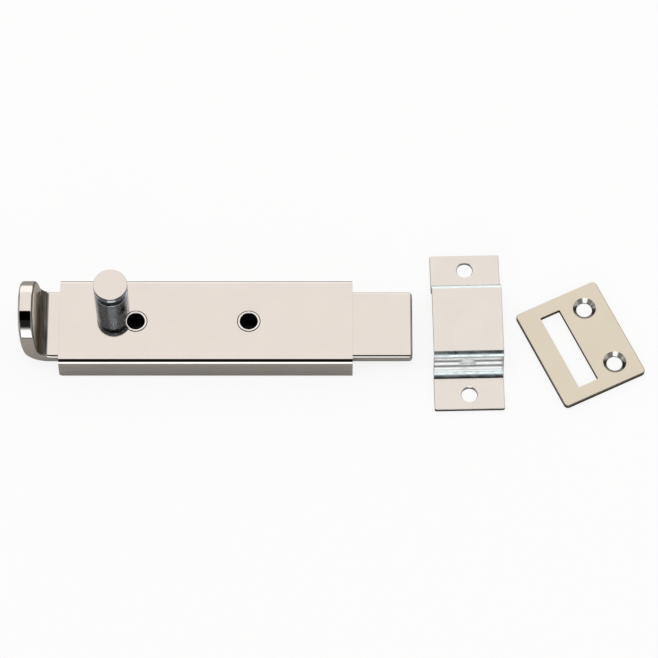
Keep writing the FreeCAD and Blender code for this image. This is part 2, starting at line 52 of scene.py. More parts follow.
# Sizes that the frame's boxes don't give. The casing, its sleeves and its back plate:
LONG_EDGE_ROUND = 1.9 * MM
REAR_FOOT_ROUND = 1.2 * MM
END_EDGE_ROUND = 0.22 * MM
SIDE_WALL = 3.35 * MM
FRONT_WALL = 2.3 * MM
SCREW_ROOM = 3.1 * MM
SLEEVE_RADIUS = 3.85 * MM
SLEEVE_RIM_ROUND = 0.1 * MM
SLEEVE_MOUTH_ROUND = 0.14 * MM
FLANGE_THICKNESS = 0.7 * MM
FLANGE_RADIUS = SLEEVE_RADIUS + 1.3 * MM
JOINT_CHAMFER = 0.25 * MM
BORE_PLAY = 0.01 * MM
FLANGE_PLAY = 0.02 * MM
NOSE_PLAY = 0.03 * MM
BACK_PLATE_ROUND = 0.12 * MM
RIVET_HEAD = 1.5 * MM
RIVET_HOLE = 0.82 * MM

# The slide bar and its pull lip:
BAR_THICKNESS = 4.0 * MM
BAR_BOTTOM = 3.6 * MM
BAR_EDGE_ROUND = 0.95 * MM
BAR_END_ROUND = 1.3 * MM
BOLT_THROW = 20.8 * MM
SLOT_HALF = 4.0 * MM
LIP_REACH = 11.0 * MM
LIP_LEAN = math.radians(7.0)
LIP_THICKNESS = 5.1 * MM
LIP_BEND = 4.5 * MM
LIP_CORNER = 10.9 * MM
LOCK_HOLE = 1.9 * MM

# The lock knob, its barrel below and its pull cap above:
NOSE_RADIUS = 4.0 * MM
PIN_BORE = 1.8 * MM
BARREL_BORE = 3.45 * MM
COUNTERBORE = 4.6 * MM
COUNTERBORE_DEPTH = 1.7 * MM
BARREL_FLOOR = 0.8 * MM
BARREL_RIM_ROUND = 0.45 * MM
BARREL_FOOT_ROUND = 0.18 * MM
COUNTERBORE_ROUND = 0.2 * MM
CAP_THICKNESS = 2.5 * MM
CAP_HEAD = 0.75 * MM
CAP_GROOVE_FOOT = 1.75 * MM
CAP_GROOVE_DEPTH = 0.55 * MM
CAP_GROOVE_SLOPE = 0.12 * MM
CAP_RING_CHAMFER = 0.5 * MM
CAP_TOP_ROUND = 0.2 * MM
CAP_EDGE_ROUND = 0.12 * MM
CAP_SKIN = 0.8 * MM
SPIGOT_RADIUS = 4.5 * MM
STEM_RADIUS = 2.0 * MM

# The staple keep:
KEEP_STRIP = 1.5 * MM
KEEP_WIDTH = 24.3 * MM
KEEP_HALF_LENGTH = 29.717 * MM
KEEP_TUNNEL_TOP = 10.1 * MM
KEEP_TUNNEL_TOP_HALF = 12.527 * MM
KEEP_TUNNEL_FOOT_HALF = 15.045 * MM
KEEP_BEND = 0.95 * MM
KEEP_FOOT_BEND = 3.95 * MM
KEEP_LEAN = math.radians(14.0)
KEEP_TURN = math.radians(1.2)
KEEP_CORNER = 0.6 * MM
KEEP_EDGE_ROUND = 0.18 * MM
KEEP_HOLE = 2.8 * MM
KEEP_HOLE_INSET = 5.65 * MM
KEEP_HOLES_Y = (KEEP_HOLE_INSET - KEEP_HALF_LENGTH, KEEP_HALF_LENGTH - KEEP_HOLE_INSET)
KEEP_HOLE_LOW = 0.05 * MM
KEEP_HOLE_HIGH = 0.35 * MM
KEEP_HOLE_CHAMFER = 0.2 * MM

# The mortice plate:
PLATE_SIZE = Vector((31.3, 39.2, 1.8)) * MM
PLATE_TURN = math.radians(25.75)
PLATE_CORNER = 1.5 * MM
PLATE_EDGE_ROUND = 0.32 * MM
PLATE_SLOT = Vector((7.5, 29.4, 0)) * MM
PLATE_SLOT_X = -4.45 * MM
PLATE_SLOT_CORNER = 0.35 * MM
PLATE_SLOT_ROUND = 0.1 * MM
PLATE_HOLE_X = 7.5 * MM
PLATE_HOLE_Y = 11.5 * MM
PLATE_HOLE = 2.75 * MM
PLATE_COUNTERSINK = 1.3 * MM

# How far a cutting tool goes past the piece that it cuts, to leave no skin.
PAST = 1 * MM
PAST_JOINT = 0.1 * MM
PAST_CONE = 0.2 * MM
PAST_KEEP = 2.5 * MM

# The studio and its camera:
SET_MIDDLE_X = 40 * MM
CARD_HEIGHT = -0.02 * MM
FLOOR_HEIGHT = -0.05 * MM
MIRRORED_FLOOR_HEIGHT = -0.06 * MM
SKY_LIGHT = 1.05
SKY_BACKDROP = 0.97
PALE = (1.0, 0.985, 0.96)
CAMERA_RISE = math.radians(64.47)
CAMERA_DISTANCE = 1.3913
CAMERA_ASIDE = 42.8 * MM
CAMERA_UP = 1.62 * MM
CAMERA_SENSOR = 36
CAMERA_LENS = 217.532


# ---------------------------------------------------------------- modelling helpers

def deselect():
    if bpy.context.object and bpy.context.object.mode != "OBJECT":
        bpy.ops.object.mode_set(mode="OBJECT")
    bpy.ops.object.select_all(action="DESELECT")


def take_up(piece):
    """Make a piece the only one selected, and the active one."""
    deselect()
    piece.select_set(True)
    bpy.context.view_layer.objects.active = piece


def settle(name):
    """Name the newest primitive and put its place into its mesh."""
    piece = bpy.context.object
    piece.name = name
    piece.data.name = name
    bpy.ops.object.transform_apply(location=True, rotation=True, scale=True)
    return piece


def block(name, low, high):
    """A box between two corners."""
    deselect()
    low, high = Vector(low), Vector(high)
    bpy.ops.mesh.primitive_cube_add(size=1, location=(low + high) / 2)
    bpy.context.object.scale = high - low
    return settle(name)


def drum(name, centre, radius, low, high, sides=96):
    """A cylinder that stands on Z."""
    deselect()
    middle = (centre[0], centre[1], (low + high) / 2)
    bpy.ops.mesh.primitive_cylinder_add(vertices=sides, radius=radius, depth=high - low, location=middle)
    return settle(name)


def cone(name, centre, low_radius, high_radius, low, high, sides=96):
    """A frustum that stands on Z."""
    deselect()
    middle = (centre[0], centre[1], (low + high) / 2)
    bpy.ops.mesh.primitive_cone_add(vertices=sides, radius1=low_radius, radius2=high_radius,
                                    depth=high - low, location=middle)
    return settle(name)


def pick(piece, kind, test):
    """In edit mode, select only the vertices, edges or faces that pass a test."""
    bpy.ops.mesh.select_all(action="DESELECT")
    bpy.ops.mesh.select_mode(type=kind)
    mesh = bmesh.from_edit_mesh(piece.data)
    items = {"VERT": mesh.verts, "EDGE": mesh.edges, "FACE": mesh.faces}[kind]
    chosen = [item for item in items if test(item)]
    for item in chosen:
        item.select_set(True)
    bmesh.update_edit_mesh(piece.data)
    return len(chosen)


def middle_of(edge):
    return (edge.verts[0].co + edge.verts[1].co) / 2


def runs_along(edge, axis):
    """Whether an edge is parallel to an axis, given as 0, 1 or 2."""
    way = edge.verts[1].co - edge.verts[0].co
    return abs(way[axis]) > 0.999 * way.length


def near(value, target, room=2e-6):
    return abs(value - target) < room


def is_corner(edge, angle=50):
    """Whether the two faces at an edge meet at more than an angle in degrees."""
    return len(edge.link_faces) == 2 and edge.calc_face_angle() > math.radians(angle)


def round_edges(piece, test, width, steps=4):
    """Bevel the edges that pass a test, with a round profile."""
    take_up(piece)
    bpy.ops.object.mode_set(mode="EDIT")
    found = pick(piece, "EDGE", test)
    if not found:
        raise RuntimeError(f"{piece.name}: no edge to round")
    bpy.ops.mesh.bevel(offset=width, segments=steps, profile=0.5, affect="EDGES", clamp_overlap=True)
    bpy.ops.object.mode_set(mode="OBJECT")


def bend_edges(piece, test, radius, bend, steps):
    """Round the edges that pass a test to a true radius, where the metal turns through an angle."""
    round_edges(piece, test, radius * math.tan(bend / 2), steps)


def cut_out(piece, cutter):
    """Take one solid away from another."""
    take_up(piece)
    cut = piece.modifiers.new("cut", "BOOLEAN")
    cut.operation = "DIFFERENCE"
    cut.solver = "EXACT"
    cut.object = cutter
    bpy.ops.object.modifier_apply(modifier=cut.name)
    bpy.data.objects.remove(cutter)


def merge_flat_faces(piece):
    """Clean a shape after its extrusions, before its edges are rounded."""
    take_up(piece)
    bpy.ops.object.mode_set(mode="EDIT")
    bpy.ops.mesh.select_all(action="SELECT")
    bpy.ops.mesh.remove_doubles(threshold=1e-7)
    bpy.ops.mesh.dissolve_limited(angle_limit=math.radians(0.5))
    bpy.ops.mesh.normals_make_consistent(inside=False)
    bpy.ops.object.mode_set(mode="OBJECT")


def set_down(piece, place, turn):
    """Turn a piece that was modelled at the origin, and set it in its place."""
    piece.rotation_euler.z = turn
    piece.location = (place[0], place[1], 0)
    take_up(piece)
    bpy.ops.object.transform_apply(location=True, rotation=True, scale=True)


def copy_along(piece, name, shift):
    """A copy of a piece with its own mesh, moved along."""
    twin = piece.copy()
    twin.data = piece.data.copy()
    twin.name = name
    twin.data.name = name
    bpy.context.scene.collection.objects.link(twin)
    twin.location = shift
    take_up(twin)
    bpy.ops.object.transform_apply(location=True, rotation=True, scale=True)
    return twin


def finish_surface(piece, angle=32):
    """Smooth the rounded edges and keep the large faces flat."""
    take_up(piece)
    bpy.ops.object.mode_set(mode="EDIT")
    bpy.ops.mesh.select_all(action="SELECT")
    bpy.ops.mesh.remove_doubles(threshold=1e-6)
    bpy.ops.mesh.normals_make_consistent(inside=False)
    bpy.ops.object.mode_set(mode="OBJECT")
    bpy.ops.object.shade_smooth_by_angle(angle=math.radians(angle))
    weights = piece.modifiers.new("weights", "WEIGHTED_NORMAL")
    weights.mode = "FACE_AREA"
    weights.weight = 100
    weights.keep_sharp = True
    bpy.ops.object.modifier_apply(modifier=weights.name)


def turned(name, centre, outline, rounds=(), sides=128):
    """A turned piece from a closed outline of (radius, height) points, then rounded at given corners.

    A ring is drawn at the first point and extruded round to point after point. A radius of 0 closes
    the piece on its axis.
    """
    deselect()
    solid = outline[0][0] == 0
    path = outline[1:] if solid else outline
    radius, height = path[0]
    bpy.ops.mesh.primitive_circle_add(vertices=sides, radius=radius, fill_type="NOTHING",
                                      location=(centre[0], centre[1], height))
    piece = settle(name)
    bpy.ops.object.mode_set(mode="EDIT")
    bpy.ops.mesh.select_all(action="SELECT")
    if solid:
        bpy.ops.mesh.edge_face_add()
        pick(piece, "EDGE", lambda edge: True)
    following = path[1:-1] if solid else path[1:] + [path[0]]
    for next_radius, next_height in following:
        bpy.ops.mesh.extrude_edges_move()
        scale = next_radius / radius
        pivot = (centre[0], centre[1], height)
        bpy.ops.transform.resize(value=(scale, scale, 1), center_override=pivot)
        bpy.ops.transform.translate(value=(0, 0, next_height - height))
        radius, height = next_radius, next_height
    if solid:
        bpy.ops.mesh.edge_face_add()
    bpy.ops.mesh.select_all(action="SELECT")
    bpy.ops.mesh.remove_doubles(threshold=1e-6)
    bpy.ops.mesh.normals_make_consistent(inside=False)
    bpy.ops.object.mode_set(mode="OBJECT")
    for ring_radius, ring_height, width in rounds:
        def on_ring(edge):
            place = middle_of(edge)
            out = math.hypot(place.x - centre[0], place.y - centre[1])
            level = near(edge.verts[0].co.z, edge.verts[1].co.z)
            return level and near(place.z, ring_height) and abs(out - ring_radius) < 0.01 * ring_radius
        round_edges(piece, on_ring, width, 3)
    return piece


# ---------------------------------------------------------------- places read from the frame

CASE_LOW, CASE_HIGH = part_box("casing")
BAR_LOW, BAR_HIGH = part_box("slide_bar")
BARREL_LOW, BARREL_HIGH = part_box("knob_barrel")
CAP_LOW, CAP_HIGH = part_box("pull_cap")
PLATE_LOW, PLATE_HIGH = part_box("mortice_plate")
BACK_LOW, BACK_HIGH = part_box("back_plate")
RIVET_LOW, RIVET_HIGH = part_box("spring_rivets")
CASE_TOP = CASE_HIGH.z


def centre_of(node):
    """The middle of a CAD node's box."""
    low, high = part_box(node)
    return (low + high) / 2


KNOB = centre_of("knob_barrel")
SLEEVES = [centre_of("fixing_sleeve_rear"), centre_of("fixing_sleeve_front")]
PLATE = centre_of("mortice_plate")
KEEP = centre_of("staple_keep")


# ---------------------------------------------------------------- the pieces

def model_casing():
    """Channel that is open behind and at both ends, with bores for the sleeves and the knob."""
    casing = block("case_shell", CASE_LOW, CASE_HIGH)
    round_edges(casing, lambda edge: runs_along(edge, 0) and near(middle_of(edge).z, CASE_TOP),
                LONG_EDGE_ROUND, 10)
    cut_out(casing, block("channel", (CASE_LOW.x - PAST, CASE_LOW.y + SIDE_WALL, -PAST),
                          (CASE_HIGH.x + PAST, CASE_HIGH.y - SIDE_WALL, CASE_TOP - FRONT_WALL)))
    round_edges(casing, lambda edge: runs_along(edge, 1) and near(middle_of(edge).x, CASE_LOW.x)
                and near(middle_of(edge).z, CASE_LOW.z), REAR_FOOT_ROUND, 6)
    round_edges(casing, lambda edge: is_corner(edge) and not runs_along(edge, 0)
                and (near(middle_of(edge).x, CASE_LOW.x) or near(middle_of(edge).x, CASE_HIGH.x)),
                END_EDGE_ROUND, 3)
    for sleeve in SLEEVES:
        cut_out(casing, cone("joint", sleeve, SLEEVE_RADIUS, SLEEVE_RADIUS + JOINT_CHAMFER + PAST_JOINT,
                             CASE_TOP - JOINT_CHAMFER, CASE_TOP + PAST_JOINT))
        cut_out(casing, drum("bore", sleeve, SLEEVE_RADIUS + BORE_PLAY, 0, CASE_TOP + PAST))
    cut_out(casing, drum("nose_seat", KNOB, NOSE_RADIUS + NOSE_PLAY, PAST, CASE_TOP + PAST))
    finish_surface(casing)
    return casing


def model_back_plate():
    """Cover for the channel, with a seat for each sleeve's flange and a hole for each rivet."""
    plate = block("back_cover", BACK_LOW, BACK_HIGH)
    round_edges(plate, is_corner, BACK_PLATE_ROUND, 2)
    above = BACK_HIGH.z + PAST
    for sleeve in SLEEVES:
        cut_out(plate, drum("bore", sleeve, SLEEVE_RADIUS + BORE_PLAY, -PAST, above))
        cut_out(plate, drum("flange_seat", sleeve, FLANGE_RADIUS + FLANGE_PLAY, -PAST, FLANGE_THICKNESS))
    for side in (RIVET_LOW.y + RIVET_HEAD, RIVET_HIGH.y - RIVET_HEAD):
        place = ((RIVET_LOW.x + RIVET_HIGH.x) / 2, side)
        cut_out(plate, drum("rivet_hole", place, RIVET_HOLE, -PAST, above, 48))
    finish_surface(plate)
    return plate


def model_sleeve(name, place):
    """Ring through the casing's front, with a flange let into the back plate."""
    sleeve = turned(name, place, [
        (SCREW_ROOM, 0), (FLANGE_RADIUS, 0), (FLANGE_RADIUS, FLANGE_THICKNESS),
        (SLEEVE_RADIUS, FLANGE_THICKNESS), (SLEEVE_RADIUS, CASE_TOP), (SCREW_ROOM, CASE_TOP),
    ], [(SLEEVE_RADIUS, CASE_TOP, SLEEVE_RIM_ROUND), (SCREW_ROOM, CASE_TOP, SLEEVE_MOUTH_ROUND),
        (FLANGE_RADIUS, 0, SLEEVE_RIM_ROUND)])
    finish_surface(sleeve)
    return sleeve


def model_slide_bar():
    """Flat bar with its rear end turned up as a thicker, slightly leaning pull lip."""
    bar_top = BAR_BOTTOM + BAR_THICKNESS
    slant = math.tan(LIP_LEAN)
    outer_x = CASE_LOW.x - LIP_REACH
    inner_x = outer_x - BAR_THICKNESS * slant + LIP_THICKNESS / math.cos(LIP_LEAN)
    bar = block("bolt_bar", (outer_x, BAR_LOW.y, BAR_BOTTOM), (BAR_HIGH.x, BAR_HIGH.y, bar_top))
    take_up(bar)
    bpy.ops.object.mode_set(mode="EDIT")
    bpy.ops.mesh.select_all(action="SELECT")
    bpy.ops.mesh.bisect(plane_co=(inner_x, 0, 0), plane_no=(1, 0, 0))
    pick(bar, "VERT", lambda vert: near(vert.co.x, outer_x) and near(vert.co.z, bar_top))
    bpy.ops.transform.translate(value=(-BAR_THICKNESS * slant, 0, 0))
    pick(bar, "FACE", lambda face: face.normal.z > 0.9 and face.calc_center_median().x < inner_x)
    bpy.ops.mesh.extrude_region_move()
    rise = BAR_HIGH.z - bar_top
    bpy.ops.transform.translate(value=(-rise * slant, 0, rise))
    bpy.ops.object.mode_set(mode="OBJECT")
    merge_flat_faces(bar)
    turn = math.pi / 2 - LIP_LEAN
    bend_edges(bar, lambda edge: runs_along(edge, 1) and near(middle_of(edge).x, inner_x)
               and near(middle_of(edge).z, bar_top), LIP_BEND, turn, 18)
    bend_edges(bar, lambda edge: runs_along(edge, 1) and near(middle_of(edge).x, outer_x)
               and near(middle_of(edge).z, BAR_BOTTOM), LIP_BEND + BAR_THICKNESS, turn, 24)
    half = BAR_HIGH.y
    round_edges(bar, lambda edge: runs_along(edge, 0) and near(abs(middle_of(edge).y), half)
                and near(middle_of(edge).z, BAR_HIGH.z), LIP_CORNER, 28)
    round_edges(bar, lambda edge: runs_along(edge, 2) and near(middle_of(edge).x, BAR_HIGH.x)
                and is_corner(edge), BAR_END_ROUND, 8)
    round_edges(bar, lambda edge: is_corner(edge, 60), BAR_EDGE_ROUND, 5)
    below, above = BAR_BOTTOM - PAST, bar_top + PAST
    for sleeve in SLEEVES:
        slot = block("slot", (sleeve.x - SLOT_HALF, -SLOT_HALF, below),
                     (sleeve.x + BOLT_THROW + SLOT_HALF, SLOT_HALF, above))
        round_edges(slot, lambda edge: runs_along(edge, 2), SLOT_HALF * 0.999, 24)
        cut_out(bar, slot)
    for lock_x in (KNOB.x, KNOB.x + BOLT_THROW):
        cut_out(bar, drum("lock_hole", (lock_x, KNOB.y), LOCK_HOLE, below, above, 64))
    finish_surface(bar, 35)
    return bar


def model_knob_barrel():
    """Fixed part of the knob: a stepped tube with a nose that is pressed into the casing."""
    top = BARREL_HIGH.z
    radius = (BARREL_HIGH.x - BARREL_LOW.x) / 2
    counter_floor = top - COUNTERBORE_DEPTH
    floor = CASE_TOP + BARREL_FLOOR
    barrel = turned("lock_barrel", KNOB, [
        (PIN_BORE, BARREL_LOW.z), (NOSE_RADIUS, BARREL_LOW.z), (NOSE_RADIUS, CASE_TOP), (radius, CASE_TOP),
        (radius, top), (COUNTERBORE, top), (COUNTERBORE, counter_floor), (BARREL_BORE, counter_floor),
        (BARREL_BORE, floor), (PIN_BORE, floor),
    ], [(radius, top, BARREL_RIM_ROUND), (radius, CASE_TOP, BARREL_FOOT_ROUND),
        (COUNTERBORE, top, COUNTERBORE_ROUND)])
    finish_surface(barrel, 25)
    return barrel


def model_pull_cap():
    """Finger cap: a thin flat head over a turned groove and a chamfered ring, with its spigot below."""
    bottom = CAP_HIGH.z - CAP_THICKNESS
    radius = (BARREL_HIGH.x - BARREL_LOW.x) / 2
    ceiling = CAP_HIGH.z - CAP_SKIN
    head = CAP_HIGH.z - CAP_HEAD
    ring = CAP_HIGH.z - CAP_GROOVE_FOOT
    waist = radius - CAP_GROOVE_DEPTH
    cap = turned("finger_cap", KNOB, [
        (0, CAP_HIGH.z), (radius, CAP_HIGH.z), (radius, head), (waist, head - CAP_GROOVE_SLOPE),
        (waist, ring), (radius, ring - CAP_RING_CHAMFER), (radius, bottom), (SPIGOT_RADIUS, bottom),
        (SPIGOT_RADIUS, CAP_LOW.z), (STEM_RADIUS, CAP_LOW.z), (STEM_RADIUS, ceiling), (0, ceiling),
    ], [(radius, CAP_HIGH.z, CAP_TOP_ROUND), (radius, head, CAP_EDGE_ROUND),
        (radius, bottom, CAP_EDGE_ROUND), (SPIGOT_RADIUS, CAP_LOW.z, CAP_TOP_ROUND)])
    finish_surface(cap, 25)
    return cap


def model_staple_keep():
    """One sheet bent round the bar's path, then given the strip's thickness on its outer side."""
    half = KEEP_HALF_LENGTH
    foot_half, top_half = KEEP_TUNNEL_FOOT_HALF, KEEP_TUNNEL_TOP_HALF
    deselect()
    bpy.ops.mesh.primitive_plane_add(size=1, location=(0, -(half + foot_half) / 2, 0))
    bpy.context.object.scale = (KEEP_WIDTH, half - foot_half, 1)
    keep = settle("keep_bridge")
    bpy.ops.object.mode_set(mode="EDIT")
    pick(keep, "EDGE", lambda edge: near(middle_of(edge).y, -foot_half))
    for step in ((0, foot_half - top_half, KEEP_TUNNEL_TOP), (0, 2 * top_half, 0),
                 (0, foot_half - top_half, -KEEP_TUNNEL_TOP), (0, half - foot_half, 0)):
        bpy.ops.mesh.extrude_edges_move()
        bpy.ops.transform.translate(value=step)
    bpy.ops.object.mode_set(mode="OBJECT")
    bend = math.pi / 2 - KEEP_LEAN
    bend_edges(keep, lambda edge: runs_along(edge, 0) and near(abs(middle_of(edge).y), top_half)
               and near(middle_of(edge).z, KEEP_TUNNEL_TOP), KEEP_BEND, bend, 12)
    bend_edges(keep, lambda edge: runs_along(edge, 0) and near(abs(middle_of(edge).y), foot_half)
               and near(middle_of(edge).z, 0), KEEP_FOOT_BEND, bend, 16)
    take_up(keep)
    bpy.ops.object.mode_set(mode="EDIT")
    bpy.ops.mesh.select_all(action="SELECT")
    bpy.ops.mesh.normals_make_consistent(inside=False)
    mesh = bmesh.from_edit_mesh(keep.data)
    foot = min(mesh.faces, key=lambda face: face.calc_center_median().y)
    if foot.normal.z < 0:
        bpy.ops.mesh.flip_normals()
    bpy.ops.object.mode_set(mode="OBJECT")
    thickness = keep.modifiers.new("thickness", "SOLIDIFY")
    thickness.thickness = KEEP_STRIP
    thickness.offset = 1.0
    thickness.use_even_offset = True
    bpy.ops.object.modifier_apply(modifier=thickness.name)
    round_edges(keep, lambda edge: runs_along(edge, 2) and near(abs(middle_of(edge).y), half)
                and is_corner(edge), KEEP_CORNER, 6)
    round_edges(keep, lambda edge: is_corner(edge, 60), KEEP_EDGE_ROUND, 3)
    for y in KEEP_HOLES_Y:
        cut_out(keep, cone("hole_edge", (0, y), KEEP_HOLE - KEEP_HOLE_LOW, KEEP_HOLE + KEEP_HOLE_HIGH,
                           KEEP_STRIP - KEEP_HOLE_CHAMFER, KEEP_STRIP + KEEP_HOLE_CHAMFER))
        cut_out(keep, drum("screw_hole", (0, y), KEEP_HOLE, -PAST, KEEP_STRIP + PAST_KEEP))
    finish_surface(keep)
    set_down(keep, KEEP, KEEP_TURN)
    return keep


def model_mortice_plate():
    """Modelled square at the origin, then turned and set in its place."""
    half = PLATE_SIZE / 2
    top = PLATE_SIZE.z
    plate = block("slot_plate", (-half.x, -half.y, 0), (half.x, half.y, top))
    round_edges(plate, lambda edge: runs_along(edge, 2), PLATE_CORNER, 10)
    round_edges(plate, lambda edge: is_corner(edge, 60) and near(middle_of(edge).z, top),
                PLATE_EDGE_ROUND, 4)
    slot = block("slot", (PLATE_SLOT_X - PLATE_SLOT.x / 2, -PLATE_SLOT.y / 2, -PAST),
                 (PLATE_SLOT_X + PLATE_SLOT.x / 2, PLATE_SLOT.y / 2, top + PAST))
    round_edges(slot, lambda edge: runs_along(edge, 2), PLATE_SLOT_CORNER, 5)
    cut_out(plate, slot)
    for y in (-PLATE_HOLE_Y, PLATE_HOLE_Y):
        place = (PLATE_HOLE_X, y)
        cut_out(plate, cone("countersink", place, PLATE_HOLE, PLATE_HOLE + PLATE_COUNTERSINK + PAST_CONE,
                            top - PLATE_COUNTERSINK, top + PAST_CONE))
        cut_out(plate, drum("screw_hole", place, PLATE_HOLE, -PAST, top + PAST))
    round_edges(plate, lambda edge: is_corner(edge, 60) and near(middle_of(edge).z, top)
                and abs(middle_of(edge).x - PLATE_SLOT_X) < PLATE_SLOT.x, PLATE_SLOT_ROUND, 2)
    finish_surface(plate)
    set_down(plate, PLATE, PLATE_TURN)
    return plate


# ---------------------------------------------------------------- materials

def new_material(name):
    """A new material, with its nodes, its links and its shader."""
    material = bpy.data.materials.new(name)
    material.use_nodes = True
    nodes, links = material.node_tree.nodes, material.node_tree.links
    return material, nodes, links, nodes["Principled BSDF"]


def noise(nodes, links, vector, scale, detail):
    """The strength of a noise pattern, read at a vector."""
    texture = nodes.new("ShaderNodeTexNoise")
    texture.inputs["Scale"].default_value = scale
    texture.inputs["Detail"].default_value = detail
    links.new(vector, texture.inputs["Vector"])
    return texture.outputs["Fac"]


def relief(nodes, links, height, strength, depth):
    """A bump that a pattern raises by up to a depth."""
    bump = nodes.new("ShaderNodeBump")
    bump.inputs["Strength"].default_value = strength
    bump.inputs["Distance"].default_value = depth
    links.new(height, bump.inputs["Height"])
    return bump


def polished_metal(name, tint, roughness, swirl=1.0, rings=None):
    """Buffed metal: a mirror with faint clouding and fine polishing lines along X.

    The rings, given as a pitch and a depth, are level waves one above another: turning marks on a
    round piece, or the ripples of a pressed wall.
    """
    material, nodes, links, shader = new_material(name)
    shader.inputs["Metallic"].default_value = 1.0
    place = nodes.new("ShaderNodeTexCoord").outputs["Object"]

    colour = nodes.new("ShaderNodeValToRGB")
    dull, bright = colour.color_ramp.elements[0], colour.color_ramp.elements[1]
    dull.position = 0.35
    dull.color = (*[part * 0.975 for part in tint], 1)
    bright.position = 0.65
    bright.color = (*tint, 1)
    links.new(noise(nodes, links, place, 90.0, 4.0), colour.inputs["Fac"])
    links.new(colour.outputs["Color"], shader.inputs["Base Color"])

    haze = nodes.new("ShaderNodeMapRange")
    haze.inputs["From Min"].default_value = 0.3
    haze.inputs["From Max"].default_value = 0.7
    haze.inputs["To Min"].default_value = roughness * 0.75
    haze.inputs["To Max"].default_value = roughness * 1.3
    links.new(noise(nodes, links, place, 420.0, 6.0), haze.inputs["Value"])
    links.new(haze.outputs["Result"], shader.inputs["Roughness"])

    stretch = nodes.new("ShaderNodeMapping")
    stretch.inputs["Scale"].default_value = (1.0, 22.0, 22.0)
    links.new(place, stretch.inputs["Vector"])
    lines = noise(nodes, links, stretch.outputs["Vector"], 260.0, 3.0)
    bump = relief(nodes, links, lines, 0.04 * swirl, 0.02 * MM)
    links.new(bump.outputs["Normal"], shader.inputs["Normal"])

    if rings:
        pitch, depth = rings
        waves = nodes.new("ShaderNodeTexWave")
        waves.wave_type = "BANDS"
        waves.bands_direction = "Z"
        waves.inputs["Scale"].default_value = 2 * math.pi / (20 * pitch)
        waves.inputs["Distortion"].default_value = 0.0
        links.new(place, waves.inputs["Vector"])
        ripple = relief(nodes, links, waves.outputs["Fac"], 1.0, depth)
        links.new(ripple.outputs["Normal"], bump.inputs["Normal"])
    return material


def moulded_rubber(name):
    """Matt black rubber with a fine grain."""
    material, nodes, links, shader = new_material(name)
    shader.inputs["Roughness"].default_value = 0.6
    place = nodes.new("ShaderNodeTexCoord").outputs["Object"]
    grain = noise(nodes, links, place, 6000.0, 3.0)
    tone = nodes.new("ShaderNodeValToRGB")
    tone.color_ramp.elements[0].color = (0.012, 0.012, 0.013, 1)
    tone.color_ramp.elements[1].color = (0.028, 0.028, 0.03, 1)
    links.new(grain, tone.inputs["Fac"])
    links.new(tone.outputs["Color"], shader.inputs["Base Color"])
    bump = relief(nodes, links, grain, 0.3, 0.01 * MM)
    links.new(bump.outputs["Normal"], shader.inputs["Normal"])
    return material


def recoat(piece, material, test):
    """Give a second material to the faces that pass a test."""
    piece.data.materials.append(material)
    take_up(piece)
    bpy.ops.object.mode_set(mode="EDIT")
    pick(piece, "FACE", test)
    piece.active_material_index = len(piece.data.materials) - 1
    bpy.ops.object.material_slot_assign()
    bpy.ops.object.mode_set(mode="OBJECT")


def line_bore(piece, material, centre, radius):
    """Give a second material to the wall of a round hole."""
    def in_bore(face):
        middle = face.calc_center_median()
        out = math.hypot(middle.x - centre[0], middle.y - centre[1])
        return abs(face.normal.z) < 0.1 and out < radius
    recoat(piece, material, in_bore)


def is_inside_lip(face):
    """Whether a face is on the lip's inner side or in its inner bend."""
    middle = face.calc_center_median()
    return face.normal.x > 0.5 and middle.x < CASE_LOW.x and middle.z > BAR_BOTTOM + BAR_THICKNESS


def is_lip_flat(face):
    """Whether a face is on the flat of the lip's inner side."""
    return is_inside_lip(face) and face.normal.x > 0.96


def is_lip_corner(face):
    """Whether a face is in the bend at the foot of the lip's inner side."""
    return is_inside_lip(face) and face.normal.x <= 0.96


def is_joint(face):
    """Whether a face of the casing belongs to the chamfer round one of the sleeves."""
    middle = face.calc_center_median()
    near_sleeve = any(math.hypot(middle.x - sleeve.x, middle.y - sleeve.y) < SLEEVE_RADIUS + 0.4 * MM
                      for sleeve in SLEEVES)
    return 0.3 < face.normal.z < 0.9 and middle.z > CASE_TOP - 0.3 * MM and near_sleeve


def is_wall(face):
    """Whether a face of the cap isn't part of its flat top."""
    return face.normal.z < 0.95


def is_painted_shade_side(face):
    """Whether a face of a flat strip is one of its upright sides, which get painted shade."""
    return abs(face.normal.z) < 0.3 and face.calc_center_median().z < 1.8 * MM


def is_keep_wall(face):
    """Whether a face is on one of the keep's steep side walls, above the bends at its foot."""
    return abs(face.normal.y) > 0.93 and 2.2 * MM < face.calc_center_median().z < 9.8 * MM


def is_keep_bend(face):
    """Whether a face is in one of the keep's bends."""
    leaning = 0.07 < abs(face.normal.y) < 0.93 and face.normal.z > 0.2
    return leaning and face.calc_center_median().z > KEEP_STRIP + 0.1 * MM


def is_countersink(face):
    """Whether a face of the plate is on the cone of a countersink."""
    return 0.3 < face.normal.z < 0.9 and face.calc_center_median().z < PLATE_HIGH.z - 0.12 * MM


def coat(piece, material):
    """Give a piece one material all over."""
    piece.data.materials.clear()
    piece.data.materials.append(material)


def coat_cad(node, material):
    """Give a CAD node that stays as it is its material."""
    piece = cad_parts[node]
    for slot in piece.material_slots:
        slot.material = material


# ---------------------------------------------------------------- build

